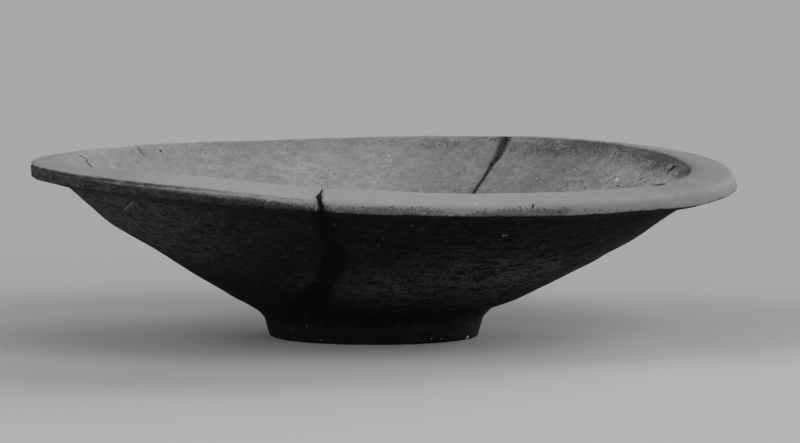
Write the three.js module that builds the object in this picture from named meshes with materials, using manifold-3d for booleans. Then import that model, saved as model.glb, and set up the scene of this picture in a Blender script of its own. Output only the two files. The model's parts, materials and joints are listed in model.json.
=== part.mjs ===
// A shallow pottery bowl with a wide drooping rim, slanting walls and a low foot.
// It was broken long ago and put together again: four sherds and the five joins that hold them.
// Millimetres, +Z up, standing on its foot, with the origin on the ground under the middle of the rim.
import * as THREE from 'three';
import { mergeVertices } from 'three/addons/utils/BufferGeometryUtils.js';
import Module from 'manifold-3d';

// Rim: a flange that falls from the crest, its inner edge, to the lip, its outer edge
const RIM_RADIUS = 125; // axis to the face of the lip
const RIM_HEIGHT = 62; // ground to the crest
const FLANGE_WIDTH = 16; // crest to lip, measured level
const FLANGE_DROP = 2.4; // fall of the upper face from the crest to the lip
const LIP_HEIGHT = 4.7; // upper to lower corner of the lip
const LIP_ROUNDING = 1; // how far the lip's lower corner is rounded off
const LIP_OVERHANG = 12.5; // lip to the line where the flange springs from the wall
const UNDERSIDE_RISE = 3.2; // climb of the flange's under face from the wall to the lip

// Wall: two parallel curved faces, with a steeper band inside just under the crest
const WALL_THICKNESS = 7.6;
const WALL_BOW = 1.6; // how far the wall hangs below a straight line from foot to rim
const BEVEL_WIDTH = 5.5; // width of the steep band, measured level

// Foot and floor
const FOOT_RADIUS = 37.3; // at the ground
const FOOT_HEIGHT = 5; // ground to the cove under the wall
const FOOT_FLARE = 1.2; // how much wider the foot is at the cove
const FOOT_ROUNDING = 1.2; // worn lower edge
const COVE_WIDTH = 3.6; // level width of the hollow between foot and wall
const COVE_HEIGHT = 4.6;
const FLOOR_RADIUS = 24; // flat middle of the inside
const FLOOR_THICKNESS = 10.5;
const RECESS_RADIUS = 26; // shallow turned hollow under the foot
const RECESS_DEPTH = 2.5;

// Unevenness of the hand-made shape, all of it growing from the foot to the crest
const RIM_LEAN = 1.85; // how much higher the left side is than the middle, and the right side lower
const RIM_TWIST = 1.85; // rise at the back right and front left, and fall at the other two quarters
const TWIST_BEARING = 40; // bearing of the risen quarter at the back right, in degrees from +X
const RIM_OFFSET = 3.2; // how far the middle of the rim lies to the right of the foot

// Breaks
const FOOT_BREAK_GAP = 8; // edge of the foot to the break that runs round its left side
const HAIRLINE = 0.4; // thickness of a thin join
const FIT_CLEARANCE = 0.3; // between a join and each sherd beside it

// Fineness of the curved faces
const TURN_STEPS = 72; // flat faces round the bowl
const CURVE_STEPS = 5; // straight pieces in each curve of the section
const CUT_MARGIN = 6; // how far the cutting prisms reach past the bowl
const WELD_DISTANCE = 1e-4; // corners nearer than this are one corner

const CREST_RADIUS = RIM_RADIUS - FLANGE_WIDTH;
const FOOT_BREAK_RADIUS = FOOT_RADIUS + FOOT_BREAK_GAP;

// Each break is a line of stations from the lip to the break round the foot.
// along: place on that line, from 1 at the lip to 0 at the foot break.
// bearing: degrees counterclockwise from +X, seen from above. width: measured round the bowl.
const FRONT_BREAK = [
  { along: 1, bearing: 260.2, width: 2 },
  { along: 0.91, bearing: 260.3, width: 1.6 },
  { along: 0.66, bearing: 259.5, width: 4.3 },
  { along: 0.51, bearing: 258.9, width: 7 },
  { along: 0.34, bearing: 254.8, width: 7.3 },
  { along: 0.2, bearing: 249.2, width: 8.9 },
  { along: 0.1, bearing: 242.8, width: 10.5 },
  { along: 0, bearing: 235.5, width: 8 },
];
const BACK_BREAK = [
  { along: 1, bearing: 66.2, width: 2.9 },
  { along: 0.8, bearing: 66.5, width: 2.6 },
  { along: 0.66, bearing: 67.3, width: 1.3 },
  { along: 0.54, bearing: 68.2, width: 0.6 },
  { along: 0, bearing: 71, width: HAIRLINE },
];
const LEFT_BREAK = [
  { along: 1, bearing: 169.4, width: HAIRLINE },
  { along: 0.82, bearing: 170.4, width: HAIRLINE },
  { along: 0.74, bearing: 171.8, width: HAIRLINE },
  { along: 0.4, bearing: 172.5, width: HAIRLINE },
  { along: 0, bearing: 168, width: HAIRLINE },
];
const BACK_LEFT_BREAK = [
  { along: 1, bearing: 144.6, width: HAIRLINE },
  { along: 0.8, bearing: 143.4, width: HAIRLINE },
  { along: 0.5, bearing: 140.5, width: HAIRLINE },
  { along: 0.25, bearing: 141, width: HAIRLINE },
  { along: 0, bearing: 144, width: HAIRLINE },
];

const wasm = await Module();
wasm.setup();

// Turns a closed three.js shape into a solid that can be joined and cut
function solidFrom(geometry) {
  geometry.deleteAttribute('normal');
  geometry.deleteAttribute('uv');
  const merged = mergeVertices(geometry, WELD_DISTANCE);
  const mesh = new wasm.Mesh({
    numProp: 3,
    vertProperties: Float32Array.from(merged.attributes.position.array),
    triVerts: Uint32Array.from(merged.index.array),
  });
  return new wasm.Manifold(mesh);
}

// Curve from one point to another that hangs below the straight line between them by the given bow
function bowedCurve(path, from, to, bow) {
  const chord = to.clone().sub(from);
  const below = new THREE.Vector2(chord.y, -chord.x).normalize();
  if (below.y > 0) {
    below.negate();
  }
  const middle = from.clone().lerp(to, 0.5).addScaledVector(below, 2 * bow);
  path.quadraticCurveTo(middle.x, middle.y, to.x, to.y);
}

// Section of the bowl, radius and height, from the middle of the underside round to the middle of the floor
function sectionPoints() {
  const lipTop = new THREE.Vector2(RIM_RADIUS, RIM_HEIGHT - FLANGE_DROP);
  const lipBottom = lipTop.y - LIP_HEIGHT;
  const cove = new THREE.Vector2(FOOT_RADIUS + FOOT_FLARE, FOOT_HEIGHT);
  const wallLow = new THREE.Vector2(cove.x + COVE_WIDTH, cove.y + COVE_HEIGHT);
  const wallHigh = new THREE.Vector2(RIM_RADIUS - LIP_OVERHANG, lipBottom - UNDERSIDE_RISE);

  // The inner face runs beside the outer one, WALL_THICKNESS away from it
  const run = wallHigh.x - wallLow.x;
  const climb = (wallHigh.y - wallLow.y) / run;
  const upright = WALL_THICKNESS * Math.hypot(1, climb);
  const innerHeight = (radius) => wallLow.y + climb * (radius - wallLow.x) + upright;
  const shoulderRadius = CREST_RADIUS - BEVEL_WIDTH;
  const shoulder = new THREE.Vector2(shoulderRadius, innerHeight(shoulderRadius));
  const innerLow = new THREE.Vector2(cove.x, innerHeight(cove.x));
  const floorHeight = RECESS_DEPTH + FLOOR_THICKNESS;
  const floorBend = (FLOOR_RADIUS + cove.x) / 2;

  const section = new THREE.Path();
  section.moveTo(0, RECESS_DEPTH);
  section.lineTo(RECESS_RADIUS - RECESS_DEPTH, RECESS_DEPTH);
  section.quadraticCurveTo(RECESS_RADIUS, RECESS_DEPTH, RECESS_RADIUS, 0);
  section.lineTo(FOOT_RADIUS - FOOT_ROUNDING, 0);
  section.quadraticCurveTo(FOOT_RADIUS, 0, FOOT_RADIUS, FOOT_ROUNDING);
  section.lineTo(cove.x, cove.y);
  section.quadraticCurveTo(cove.x, cove.y + COVE_HEIGHT / 2, wallLow.x, wallLow.y);
  bowedCurve(section, wallLow, wallHigh, WALL_BOW);
  section.lineTo(RIM_RADIUS - LIP_ROUNDING, lipBottom);
  section.quadraticCurveTo(RIM_RADIUS, lipBottom, RIM_RADIUS, lipBottom + LIP_ROUNDING);
  section.lineTo(lipTop.x, lipTop.y);
  section.lineTo(CREST_RADIUS, RIM_HEIGHT);
  section.lineTo(shoulder.x, shoulder.y);
  bowedCurve(section, shoulder, innerLow, WALL_BOW);
  section.quadraticCurveTo(floorBend, floorHeight, FLOOR_RADIUS, floorHeight);
  section.lineTo(0, floorHeight);
  return section.getPoints(CURVE_STEPS);
}

function makeTrueBowl() {
  const turned = new THREE.LatheGeometry(sectionPoints(), TURN_STEPS);
  turned.rotateX(Math.PI / 2);
  return solidFrom(turned);
}

// Point in plan, from a radius and a bearing in degrees
function planPoint(radius, bearing) {
  const angle = THREE.MathUtils.degToRad(bearing);
  return new THREE.Vector2(radius * Math.cos(angle), radius * Math.sin(angle));
}

// Points round an arc in plan, with both ends
function planArc(radius, firstBearing, lastBearing) {
  const stepDegrees = 360 / TURN_STEPS;
  const count = Math.max(1, Math.ceil(Math.abs(lastBearing - firstBearing) / stepDegrees));
  const points = [];
  for (let step = 0; step <= count; step += 1) {
    points.push(planPoint(radius, THREE.MathUtils.lerp(firstBearing, lastBearing, step / count)));
  }
  return points;
}

// Upright prism over a plan outline, taller than the bowl
function uprightPrism(points) {
  const height = RIM_HEIGHT + RIM_LEAN + RIM_TWIST + 2 * CUT_MARGIN;
  const prism = new THREE.ExtrudeGeometry(new THREE.Shape(points), { depth: height, bevelEnabled: false });
  prism.translate(0, 0, -CUT_MARGIN);
  return solidFrom(prism);
}

function stationRadius(station) {
  return THREE.MathUtils.lerp(FOOT_BREAK_RADIUS, RIM_RADIUS, station.along);
}

// One side of a break in plan, from outside the lip to the foot break.
// side: 1 for its counterclockwise side, -1 for the other, 0 for its middle.
function breakSide(stations, side, clearance, innerRadius) {
  const outer = { radius: RIM_RADIUS + CUT_MARGIN, ...stations[0] };
  const inner = { radius: innerRadius, ...stations.at(-1) };
  const between = stations.slice(0, -1).map((station) => ({ radius: stationRadius(station), ...station }));
  return [outer, ...between, inner].map((station) => {
    const halfWidth = side * (station.width / 2 + clearance);
    return planPoint(station.radius, station.bearing + THREE.MathUtils.radToDeg(halfWidth / station.radius));
  });
}

// Prism that holds the join in a break, or with a clearance the room cut for it
function breakPrism(stations, clearance) {
  const innerRadius = FOOT_BREAK_RADIUS - HAIRLINE / 2 - clearance;
  const left = breakSide(stations, -1, clearance, innerRadius);
  const right = breakSide(stations, 1, clearance, innerRadius);
  return uprightPrism([...left, ...right.reverse()]);
}

// The same for the break round the left side of the foot, from the back break to the front break
function footBreakPrism(clearance) {
  const half = HAIRLINE / 2 + clearance;
  const first = BACK_BREAK.at(-1).bearing;
  const last = FRONT_BREAK.at(-1).bearing;
  const outer = planArc(FOOT_BREAK_RADIUS + half, first, last);
  const inner = planArc(FOOT_BREAK_RADIUS - half, last, first);
  return uprightPrism([...outer, ...inner]);
}

// Everything between the middles of two breaks, outside the foot break
function regionPrism(firstBreak, lastBreak) {
  const firstSide = breakSide(firstBreak, 0, 0, FOOT_BREAK_RADIUS);
  const lastSide = breakSide(lastBreak, 0, 0, FOOT_BREAK_RADIUS);
  const outerRadius = (RIM_RADIUS + CUT_MARGIN) / Math.cos(Math.PI / TURN_STEPS);
  const outerArc = planArc(outerRadius, lastBreak[0].bearing, firstBreak[0].bearing);
  const innerArc = planArc(FOOT_BREAK_RADIUS, firstBreak.at(-1).bearing, lastBreak.at(-1).bearing);
  return uprightPrism([...firstSide, ...innerArc.slice(1, -1), ...lastSide.reverse(), ...outerArc]);
}

// Gives the true turned shape its lean, its twist and its rim a little to the right of the foot
function settleVertex(vertex) {
  const radius = Math.hypot(vertex.x, vertex.y);
  const bearing = Math.atan2(vertex.y, vertex.x);
  const fromTwist = bearing - THREE.MathUtils.degToRad(TWIST_BEARING);
  const reach = THREE.MathUtils.clamp((radius - FOOT_RADIUS) / (CREST_RADIUS - FOOT_RADIUS), 0, 1);
  vertex.z -= reach * RIM_LEAN * Math.cos(bearing);
  vertex.z += reach * reach * RIM_TWIST * Math.cos(2 * fromTwist);
  vertex.x -= RIM_OFFSET * (1 - reach);
}

function settledGeometry(solid) {
  const cut = solid.getMesh();
  const geometry = new THREE.BufferGeometry();
  geometry.setAttribute('position', new THREE.BufferAttribute(Float32Array.from(cut.vertProperties), 3));
  geometry.setIndex(new THREE.BufferAttribute(Uint32Array.from(cut.triVerts), 1));
  const position = geometry.attributes.position;
  const vertex = new THREE.Vector3();
  for (let index = 0; index < position.count; index += 1) {
    vertex.fromBufferAttribute(position, index);
    settleVertex(vertex);
    position.setXYZ(index, vertex.x, vertex.y, vertex.z);
  }
  geometry.computeVertexNormals();
  return geometry;
}

const bowl = new THREE.Group();

function addPiece(name, solid, colour, roughness) {
  const material = new THREE.MeshStandardMaterial({ color: colour, roughness, metalness: 0 });
  const piece = new THREE.Mesh(settledGeometry(solid), material);
  piece.name = name;
  bowl.add(piece);
}

const CLAY_GREY = 0x8a8781;
const FILL_BLACK = 0x1c1b1a;
const GLUE_BROWN = 0x3a3530;
const CLAY_ROUGHNESS = 0.9;
const JOIN_ROUGHNESS = 0.75;

const trueBowl = makeTrueBowl();
const frontRoom = breakPrism(FRONT_BREAK, FIT_CLEARANCE);
const backRoom = breakPrism(BACK_BREAK, FIT_CLEARANCE);
const leftRoom = breakPrism(LEFT_BREAK, FIT_CLEARANCE);
const backLeftRoom = breakPrism(BACK_LEFT_BREAK, FIT_CLEARANCE);
const footRoom = footBreakPrism(FIT_CLEARANCE);

// Sherds: the foot with the whole right-hand wall, and three pieces of the left-hand wall
const footAndRightWall = trueBowl
  .subtract(regionPrism(BACK_BREAK, FRONT_BREAK))
  .subtract(frontRoom)
  .subtract(backRoom)
  .subtract(footRoom);
const backLeftSherd = trueBowl
  .intersect(regionPrism(BACK_BREAK, BACK_LEFT_BREAK))
  .subtract(backRoom)
  .subtract(backLeftRoom)
  .subtract(footRoom);
const leftSherd = trueBowl
  .intersect(regionPrism(BACK_LEFT_BREAK, LEFT_BREAK))
  .subtract(backLeftRoom)
  .subtract(leftRoom)
  .subtract(footRoom);
const frontLeftSherd = trueBowl
  .intersect(regionPrism(LEFT_BREAK, FRONT_BREAK))
  .subtract(leftRoom)
  .subtract(frontRoom)
  .subtract(footRoom);
addPiece('foot_and_right_wall', footAndRightWall, CLAY_GREY, CLAY_ROUGHNESS);
addPiece('back_left_sherd', backLeftSherd, CLAY_GREY, CLAY_ROUGHNESS);
addPiece('left_sherd', leftSherd, CLAY_GREY, CLAY_ROUGHNESS);
addPiece('front_left_sherd', frontLeftSherd, CLAY_GREY, CLAY_ROUGHNESS);

// Joins: dark filling where the edges are lost, and thin glue where the sherds still meet
const frontFill = trueBowl.intersect(breakPrism(FRONT_BREAK, 0));
const backFill = trueBowl.intersect(breakPrism(BACK_BREAK, 0));
const leftJoin = trueBowl.intersect(breakPrism(LEFT_BREAK, 0)).subtract(footRoom);
const backLeftJoin = trueBowl.intersect(breakPrism(BACK_LEFT_BREAK, 0)).subtract(footRoom);
const footJoin = trueBowl.intersect(footBreakPrism(0)).subtract(frontRoom).subtract(backRoom);
addPiece('front_fill', frontFill, FILL_BLACK, JOIN_ROUGHNESS);
addPiece('back_fill', backFill, FILL_BLACK, JOIN_ROUGHNESS);
addPiece('left_join', leftJoin, GLUE_BROWN, JOIN_ROUGHNESS);
addPiece('back_left_join', backLeftJoin, GLUE_BROWN, JOIN_ROUGHNESS);
addPiece('foot_join', footJoin, GLUE_BROWN, JOIN_ROUGHNESS);

export default bowl;
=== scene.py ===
import json

import bmesh
import bpy
import numpy as np
from mathutils import Matrix, Vector


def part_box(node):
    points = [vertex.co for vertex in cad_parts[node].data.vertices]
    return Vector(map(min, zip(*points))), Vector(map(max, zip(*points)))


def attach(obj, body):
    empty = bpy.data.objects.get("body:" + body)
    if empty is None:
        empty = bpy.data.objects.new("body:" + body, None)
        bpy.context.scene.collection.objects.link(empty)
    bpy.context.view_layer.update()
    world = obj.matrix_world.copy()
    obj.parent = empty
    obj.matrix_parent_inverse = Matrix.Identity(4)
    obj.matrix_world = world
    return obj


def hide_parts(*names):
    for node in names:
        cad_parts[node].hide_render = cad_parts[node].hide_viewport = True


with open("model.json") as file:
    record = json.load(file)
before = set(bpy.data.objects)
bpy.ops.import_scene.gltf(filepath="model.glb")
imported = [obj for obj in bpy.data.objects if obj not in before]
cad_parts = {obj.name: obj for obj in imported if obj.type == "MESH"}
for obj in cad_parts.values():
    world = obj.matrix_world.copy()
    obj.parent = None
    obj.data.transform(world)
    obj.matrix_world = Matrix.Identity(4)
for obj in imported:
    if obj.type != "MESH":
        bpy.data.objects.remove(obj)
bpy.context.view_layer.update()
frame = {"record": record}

bl_info = {
    "name": "Mended Pottery Bowl",
    "version": (1, 0, 0),
    "blender": (4, 5, 0),
    "location": "View3D > Sidebar > Bowl",
    "description": "Skins the sherds, fills and glue lines of a shallow mended bowl and sets its stage",
    "category": "Object",
}

MM = 0.001
RIM_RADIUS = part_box("foot_and_right_wall")[1].x


# Settings

def length(name, millimetres, description):
    """Property for a length: written in millimetres, kept in metres."""
    return bpy.props.FloatProperty(
        name=name, description=description, default=millimetres * MM, precision=5, unit="LENGTH"
    )


def angle(name, degrees, description):
    """Property for an angle: written in degrees, kept in radians."""
    return bpy.props.FloatProperty(
        name=name, description=description, default=np.radians(degrees), subtype="ANGLE"
    )


def amount(name, default, description):
    """Property for a plain number."""
    return bpy.props.FloatProperty(name=name, description=description, default=default, min=0.0)


def colour(name, default, description):
    """Property for a linear colour."""
    return bpy.props.FloatVectorProperty(
        name=name, description=description, default=default, size=3, min=0.0, max=1.0, subtype="COLOR"
    )


class BowlShape(bpy.types.PropertyGroup):
    """Sizes of the thrown vessel, the same as its solids have."""

    rim_radius: length("Rim radius", RIM_RADIUS / MM, "Axis to the face of the lip")
    rim_height: length("Rim height", 62, "Ground to the crest, the inner edge of the rim")
    flange_width: length("Flange width", 16, "Crest to lip, measured level")
    flange_drop: length("Flange drop", 2.4, "Fall of the upper face from crest to lip")
    lip_height: length("Lip height", 4.7, "Upper to lower corner of the lip")
    lip_overhang: length("Lip overhang", 12.5, "Lip to the line where the flange leaves the wall")
    underside_rise: length("Underside rise", 3.2, "Climb of the flange's under face to the lip")
    wall_thickness: length("Wall thickness", 7.6, "Between the two faces of the wall")
    wall_bow: length("Wall bow", 1.6, "How far the wall hangs below a straight line")
    bevel_width: length("Bevel width", 5.5, "Level width of the steep band inside the crest")
    foot_radius: length("Foot radius", 37.3, "Foot at the ground")
    foot_height: length("Foot height", 5, "Ground to the cove under the wall")
    foot_flare: length("Foot flare", 1.2, "How much wider the foot is at the cove")
    foot_rounding: length("Foot rounding", 1.2, "Worn lower edge of the foot")
    cove_width: length("Cove width", 3.6, "Level width of the hollow between foot and wall")
    cove_height: length("Cove height", 4.6, "Height of that hollow")
    floor_radius: length("Floor radius", 24, "Flat middle of the inside")
    floor_thickness: length("Floor thickness", 10.5, "Clay under the flat middle")
    recess_radius: length("Recess radius", 26, "Turned hollow under the foot")
    recess_depth: length("Recess depth", 2.5, "Depth of that hollow")
    rim_lean: length("Rim lean", 1.85, "Rise of the left of the rim, and fall of the right")
    rim_twist: length("Rim twist", 1.85, "Rise of two facing quarters of the rim, and fall of the others")
    twist_bearing: angle("Twist bearing", 40, "Bearing of the risen quarter at the back")
    rim_offset: length("Rim offset", 3.2, "How far the rim lies to the right of the foot")
    foot_break_gap: length("Foot break gap", 8, "Edge of the foot to the break round its left side")
    foot_crack: length("Foot crack", 0.3, "Width of that break")


class BowlLooks(bpy.types.PropertyGroup):
    """Colours of the clay and of what mends it."""

    pale_clay: colour("Pale clay", (0.375, 0.38, 0.372), "Lightest tone of the bare clay")
    deep_clay: colour("Deep clay", (0.175, 0.178, 0.173), "Darkest tone of the bare clay")
    grit_light: colour("Light grit", (0.52, 0.525, 0.51), "Pale grains and rubbed spots")
    grit_dark: colour("Dark grit", (0.025, 0.025, 0.023), "Dark grains, pits and stains")
    # also the colour of the painted shade along the lip and under the crest
    dirt: colour("Dirt", (0.05, 0.0505, 0.047), "Dirt along the lip and under the crest")
    coat_black: colour("Black coat", (0.0048, 0.0049, 0.0045), "Blackened outside at its darkest")
    coat_worn: colour("Worn coat", (0.062, 0.063, 0.058), "Blackened outside where it is rubbed")
    broken_clay: colour("Broken clay", (0.03, 0.03, 0.028), "Core of the clay in a break")
    fill_dark: colour("Dark fill", (0.005, 0.005, 0.0046), "Filling of the wide breaks")
    fill_light: colour("Light fill", (0.045, 0.045, 0.042), "Dust on the filling")
    glue: colour("Glue", (0.035, 0.034, 0.031), "Glue in the thin breaks")


class BowlStage(bpy.types.PropertyGroup):
    """Floor, lamps and camera."""

    floor_tone: colour("Floor", (0.438, 0.444, 0.432), "Pale floor")
    floor_reach: length("Floor reach", 12000, "Middle of the floor to its edges")
    sky_light: amount("Sky light", 0.24, "Even light from all round, 1 shows a colour as written")
    back_light: amount("Back light", 1.05, "Low lamp behind the right, on the same scale")
    front_light: amount("Front light", 0.64, "Lamp in front of the right, on the same scale")
    left_light: amount("Left light", 0.5, "Lamp in front of the left, on the same scale")
    softness: angle("Softness", 55, "How wide the light of each lamp spreads")
    eye_distance: length("Camera distance", 7000, "Bowl to camera")
    eye_height: angle("Camera height", 5.2, "Angle of the camera above the floor")
    eye_aim_right: length("Aim to the right", 6.0, "Middle of the picture, right of the axis")
    eye_aim_up: length("Aim up", 40.5, "Middle of the picture, above the ground")
    eye_field: length("Field", 284, "Width that the picture shows at the axis")


LAMPS = (  # light, bearing and height in degrees
    ("back_light", 52, 13),
    ("front_light", 317, 27),
    ("left_light", 202, 24),
)

FLOOR_PAINTED_FALLOFF = 0.84  # tone of the floor behind the bowl, against its tone in front: painted shade where the light falls off

# Breaks, as stations from the lip to the break round the foot: place on that way (1 at the lip),
# bearing in degrees counterclockwise from the right, and width outside and inside in millimetres

FRONT_BREAK = (
    (1.0, 260.3, 2.1, 1.5), (0.97, 260.0, 1.9, 2.2), (0.93, 259.8, 1.8, 2.1), (0.89, 259.7, 1.9, 1.0),
    (0.8, 259.4, 2.0, 0.4), (0.7, 259.4, 2.4, 0.8), (0.62, 259.7, 3.1, 1.2), (0.55, 259.8, 5.2, 2.2),
    (0.48, 259.2, 6.8, 2.8), (0.34, 255.6, 7.2, 3.6), (0.2, 250.0, 9.0, 4.4), (0.1, 243.2, 10.2, 5.0),
    (0.0, 236.0, 8.0, 4.0),
)
BACK_BREAK = (
    (1.0, 65.9, 2.8, 2.4), (0.84, 66.05, 2.4, 2.5), (0.75, 66.3, 1.9, 2.4), (0.66, 66.9, 1.4, 1.6),
    (0.54, 67.4, 0.9, 1.3), (0.4, 68.2, 0.6, 1.0), (0.0, 71.0, 0.4, 0.4),
)
LEFT_BREAK = (
    (1.0, 169.4, 0.14, 0.14), (0.8, 170.4, 0.14, 0.16), (0.74, 170.6, 0.14, 0.3), (0.66, 171.0, 0.14, 0.2),
    (0.4, 171.8, 0.12, 0.12), (0.0, 168.0, 0.12, 0.12),
)
BACK_LEFT_BREAK = (
    (1.0, 144.6, 0.14, 0.14), (0.84, 143.7, 0.14, 0.25), (0.8, 143.4, 0.14, 0.3), (0.74, 142.6, 0.12, 0.1),
    (0.5, 140.5, 0.1, 0.08), (0.25, 141.0, 0.1, 0.08), (0.0, 144.0, 0.1, 0.1),
)
BREAKS = {  # stations, seed, raggedness, and how far the inner edge lies from the outer one, in degrees
    "front": (FRONT_BREAK, 20, 0.35, -0.5),
    "back": (BACK_BREAK, 30, 0.4, 0.0),
    "left": (LEFT_BREAK, 40, 0.2, 0.0),
    "back_left": (BACK_LEFT_BREAK, 50, 0.2, 0.0),
}
WIDE_BREAK = 0.9 * MM  # from this width on a break's edges are fully worn, dirty and smeared
WANDER = ((6.0, 0.3), (1.6, 0.12))  # of a break's line: length and reach in millimetres
TEAR = ((3.2, 1.0, 3), (1.1, 0.6, 6))  # of its sides: length in millimetres, share of the raggedness, seed
LEFT_SHERDS = (  # node, the breaks at its two ends, and seed
    ("back_left_sherd", "back", "back_left", 70),
    ("left_sherd", "back_left", "left", 80),
    ("front_left_sherd", "left", "front", 90),
)
WIDE_FILLS = (  # node, break, how far the filling lies below the skin in millimetres, and its dust
    ("front_fill", "front", 0.2, -0.3),
    ("back_fill", "back", 0.3, 0.3),
)
THIN_FILLS = (  # the same for glue
    ("left_join", "left", 0.15, 0.0),
    ("back_left_join", "back_left", 0.15, 0.0),
)
FILL_GAP = 0.06 * MM  # each side of a filling
JOIN_GAP = 0.04 * MM  # each side of the glue round the foot

# How fine the meshes are
BREAK_STEPS = 6  # faces across a break
FILL_STEPS = 12  # faces across a filling
LEFT_FOOT_STEPS = 124  # faces round the left of the foot
FOOT_JOIN_STEPS = 180  # faces along the glue there
SHERD_STEP = 1.05 * MM  # widest face round a left sherd
RIGHT_WALL_STEP = 1.4 * MM  # widest face round the right-hand wall
WELD_REACH = 0.002 * MM  # points this close become one
SLIVER = 0.0001 * MM  # edges this short go

# Values that change round the bowl, by bearing in degrees

COAT_TOP = (  # top of the blackened outside above the lip's lower corner, in millimetres; on the left it climbs the lip's face, where the black is partly painted shade
    (0, -1.6), (30, -1.4), (60, -0.4), (90, 0.6), (125, 2.8), (150, 4.4), (175, 4.8), (212, 4.7),
    (226, 4.5), (236, 3.7), (246, 2.6), (255, 1.2), (264, 0.4), (285, 0.0), (310, -0.1), (330, -0.4),
    (345, -1.0), (360, -1.6),
)
COAT_LOOSE = (  # how far the coat's top breaks up into specks
    (0, 0.1), (120, 0.3), (170, 0.15), (210, 0.3), (230, 1.0), (250, 1.0), (264, 0.4), (290, 0.2),
    (360, 0.1),
)
LIP_GROOVE = (  # strength of the groove and ridge below the lip's upper corner
    (0, 0.0), (120, 0.15), (150, 0.7), (165, 1.0), (230, 1.0), (252, 0.5), (266, 0.1), (275, 0.0),
    (360, 0.0),
)
RIDGE_RUB = (  # how far the coat is rubbed off that ridge
    (0, 0.0), (150, 0.1), (178, 0.2), (200, 0.55), (222, 0.8), (245, 0.8), (258, 0.4), (270, 0.0),
    (360, 0.0),
)
LIP_DROP = (  # how much lower the lip's under side hangs, in millimetres
    (0, 0.9), (30, 0.6), (70, 0.1), (150, -0.2), (200, -0.2), (260, 0.0), (300, 0.3), (330, 0.9),
    (360, 0.9),
)
LIP_WEAR = (  # 0 where the lip's upper corner is crisp, 1 where it is rounded off
    (0, 1.0), (60, 0.8), (120, 0.3), (150, 0.0), (238, 0.0), (262, 0.5), (280, 1.0), (360, 1.0),
)
CREST_WEAR = (  # the same for the crest
    (0, 0.8), (30, 0.7), (65, 0.35), (130, 0.25), (165, 1.0), (205, 1.0), (225, 0.4), (260, 0.2),
    (315, 0.35), (345, 0.7), (360, 0.8),
)
CREST_DROP = (  # how much lower the worn crest lies, in millimetres
    (0, 0.0), (160, 0.0), (182, 1.6), (198, 2.2), (218, 0.0), (360, 0.0),
)
RIM_WAVE = (  # how much higher the rim stands, in millimetres
    (0, 0.0), (20, 0.2), (45, 0.5), (60, 0.35), (77, 0.0), (90, -0.45), (106, -0.5), (117, -0.3),
    (127, 0.2), (137, 0.6), (148, 0.3), (180, 0.0), (235, 0.0), (264, -0.6), (283, 0.0), (295, 0.3),
    (315, 0.6), (332, 0.25), (360, 0.0),
)
LIP_DIRT_AND_SHADE = (  # dirt and painted shade on the lip above its lower corner
    (0, 0.15), (90, 0.4), (245, 0.4), (262, 1.0), (285, 0.95), (300, 0.87), (318, 0.5), (332, 0.2),
    (345, 0.15), (360, 0.15),
)
CREST_DIRT_AND_SHADE = (  # dirt and painted shade in the band under the crest
    (0, 0.9), (25, 0.9), (50, 0.8), (70, 0.6), (95, 0.35), (140, 0.16), (180, 0.1), (340, 0.5),
    (360, 0.9),
)
INSIDE_SHADE = (  # tone of the bare clay inside: partly its own tone, partly painted light and shade
    (0, 1.24), (30, 0.93), (55, 0.68), (75, 0.77), (95, 1.04), (125, 0.96), (152, 0.84), (175, 0.8),
    (205, 0.8), (250, 0.88), (315, 0.92), (340, 1.05), (360, 1.24),
)
FLOOR_SHADE = 0.87  # its tone on the floor of the bowl, where the bearing no longer counts
RIM_SHADE = (  # its tone on the rim: partly its own tone, partly painted shade, darkest on the right where the lamps light the rim most
    (0, 0.69), (20, 0.78), (60, 0.87), (120, 0.88), (200, 0.85), (235, 1.04), (275, 1.0), (305, 0.88),
    (335, 0.72), (360, 0.69),
)
CLAY_GRAIN = (  # strength of its mottling
    (0, 2.0), (30, 1.9), (60, 1.6), (90, 1.1), (180, 0.8), (270, 0.8), (330, 1.3), (360, 2.0),
)
FLOOR_GRAIN = 1.1  # the same on the floor of the bowl
GRAIN_RADIUS = 64 * MM  # outside this the grain is drawn out round the bowl
COAT_GRAIN = (  # strength of the coat's streaks and scuffs
    (0, 1.3), (180, 1.0), (215, 1.1), (245, 1.1), (275, 1.15), (300, 1.8), (335, 1.8), (360, 1.3),
)

# Bearing and spread in degrees of the paler left of the wall, worn coat with painted light on it, of the
# faded lip there, and of the lip with the most dirt and painted shade
LEFT_FADE_AND_PAINTED_LIGHT = (205, 30)
LIP_FADE = (195, 50)
FRONT_DIRT_AND_SHADE = (258, 20)

# Where else the coat is paler: bearing and spread in degrees, radius and spread in millimetres, share; the
# last row is painted light along the right-hand edge of the wall
FADES_AND_EDGE_LIGHT = ((305, 32, 74, 15, 0.75), (272, 22, 68, 12, 0.7), (352, 22, 78, 16, 0.8))

# Slow swellings of the wall: bearing and its spread in degrees, radius, its spread and height in millimetres
BULGES = ((187, 26, 97, 11, 1.7), (0, 38, 104, 8, -1.1), (0, 50, 43.5, 4, -0.8))

# Turning lines: waves round the bowl, and the height of a band and its depth in millimetres
TURNING = ((1.6, 6.0, 0.22), (2.4, 2.3, 0.08))

# Lumps of the clay: size and height in millimetres
UNEVEN = ((27.0, 0.24), (8.0, 0.1), (2.6, 0.04))

# The groove and the ridge on the lip: place below its upper corner, and depth or height, in millimetres
GROOVE_BELOW = 0.65
GROOVE_DEPTH = 0.6
RIDGE_BELOW = 1.4
RIDGE_HEIGHT = 0.2

# Beside a break: wear in millimetres, dirt and smear, each with its reach in millimetres
BREAK_MARKS = ((0.32, 0.45), (0.6, 0.8), (0.26, 2.0))

# Chips out of the clay and stains on it. Both start with the bearing in degrees, the face, the radius or,
# on the lip, the way above its lower corner, the size round the bowl and along the section, in millimetres,
# and the slant in degrees. A chip ends with its depth, a stain with its tone from -1, black, to 1, white.

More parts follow.
